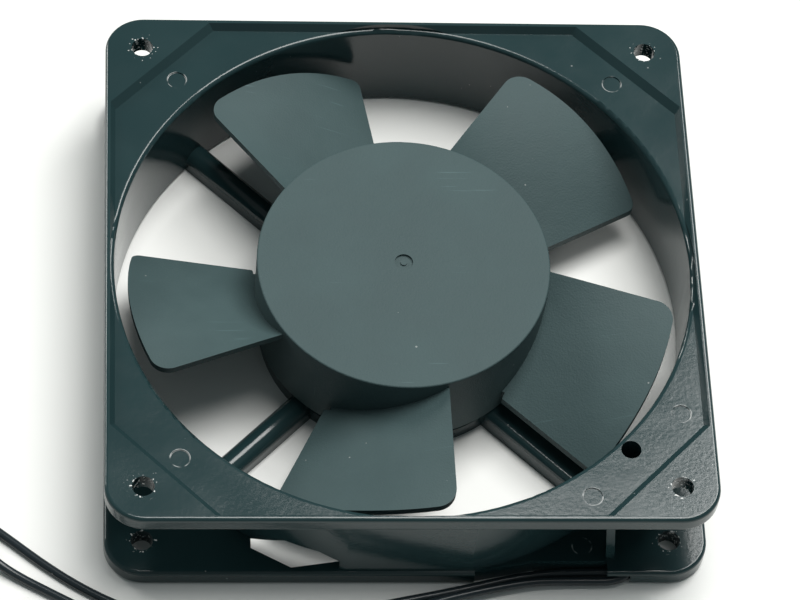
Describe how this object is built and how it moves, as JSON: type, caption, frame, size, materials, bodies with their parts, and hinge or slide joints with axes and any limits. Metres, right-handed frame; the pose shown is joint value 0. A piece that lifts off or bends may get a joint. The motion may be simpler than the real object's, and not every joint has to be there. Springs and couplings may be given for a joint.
{
  "type": "case fan",
  "caption": "Square compact axial fan: flanged round duct, five-blade impeller on an external-rotor motor held by four diagonal struts, two bare-ended leads.",
  "frame": {"origin": "centre of the square casting, at the strut-side face's plane", "axes": "+Z along the impeller's axis towards the open intake face; the leads leave at the -Y edge beside the +X corner"},
  "size_m": [0.1707, 0.1355, 0.0254],
  "materials": {
    "frame_enamel": "black enamel on a die casting, semi-gloss",
    "impeller_plastic": "moulded plastic, matt, dark grey",
    "rotor_steel": "pressed steel, plated",
    "lamination_steel": "stacked electrical sheet",
    "cast_aluminium": "as cast",
    "brass": "turned",
    "bearing_steel": "ground and polished",
    "spring_steel": "hardened, blued",
    "insulator_nylon": "moulded, natural",
    "cap_plastic": "moulded, black",
    "label_film": "blank, satin film",
    "clip_fibre": "pressed fibre strip",
    "sleeve_plastic": "shrunk sleeve",
    "enamelled_copper": "enamelled winding wire",
    "bare_copper": "drawn copper",
    "lead_insulation": "extruded insulation, dark grey",
    "tie_plastic": "flat plastic tie",
    "tinned_copper": "tinned wire end"
  },
  "bodies": {
    "casing": {"frame": "frame_enamel", "stator_core": "lamination_steel", "upper_insulator": "insulator_nylon", "lower_insulator": "insulator_nylon", "coil_1": "enamelled_copper", "coil_2": "enamelled_copper", "coil_3": "enamelled_copper", "coil_4": "enamelled_copper", "shading_ring_1": "bare_copper", "shading_ring_2": "bare_copper", "shading_ring_3": "bare_copper", "shading_ring_4": "bare_copper", "upper_outer_race": "bearing_steel", "lower_outer_race": "bearing_steel", "bearing_cap": "cap_plastic", "label": "label_film", "lead_clip": "clip_fibre", "splice_sleeve_1": "sleeve_plastic", "splice_sleeve_2": "sleeve_plastic", "inner_lead_1": "lead_insulation", "inner_lead_2": "lead_insulation", "lead_1": "lead_insulation", "lead_2": "lead_insulation", "lead_coil": "lead_insulation", "lead_tie": "tie_plastic", "lead_tip_1": "tinned_copper", "lead_tip_2": "tinned_copper"},
    "rotor": {"impeller": "impeller_plastic", "rotor_shell": "rotor_steel", "rotor_core": "lamination_steel", "rotor_cage": "cast_aluminium", "rotor_bushing": "brass", "shaft": "bearing_steel", "retaining_ring": "spring_steel", "upper_inner_race": "bearing_steel", "lower_inner_race": "bearing_steel", "upper_shim": "spring_steel", "lower_shim": "spring_steel", "preload_spring": "spring_steel"},
    "upper_ball_set": {"upper_balls": "bearing_steel", "upper_ball_cage": "bearing_steel"},
    "lower_ball_set": {"lower_balls": "bearing_steel", "lower_ball_cage": "bearing_steel"}
  },
  "joints": [
    {"name": "impeller_spin", "type": "hinge", "parent": "casing", "child": "rotor", "pos_m": [0, 0, 0.0127], "axis": [0, 0, 1], "continuous": true},
    {"name": "upper_ball_set_spin", "type": "hinge", "parent": "casing", "child": "upper_ball_set", "pos_m": [0, 0, 0.016], "axis": [0, 0, 1], "continuous": true},
    {"name": "lower_ball_set_spin", "type": "hinge", "parent": "casing", "child": "lower_ball_set", "pos_m": [0, 0, 0.0046], "axis": [0, 0, 1], "continuous": true}
  ],
  "couplings": [
    {"joint": "upper_ball_set_spin", "follows": "impeller_spin", "ratio": 0.3545},
    {"joint": "lower_ball_set_spin", "follows": "impeller_spin", "ratio": 0.3545}
  ]
}
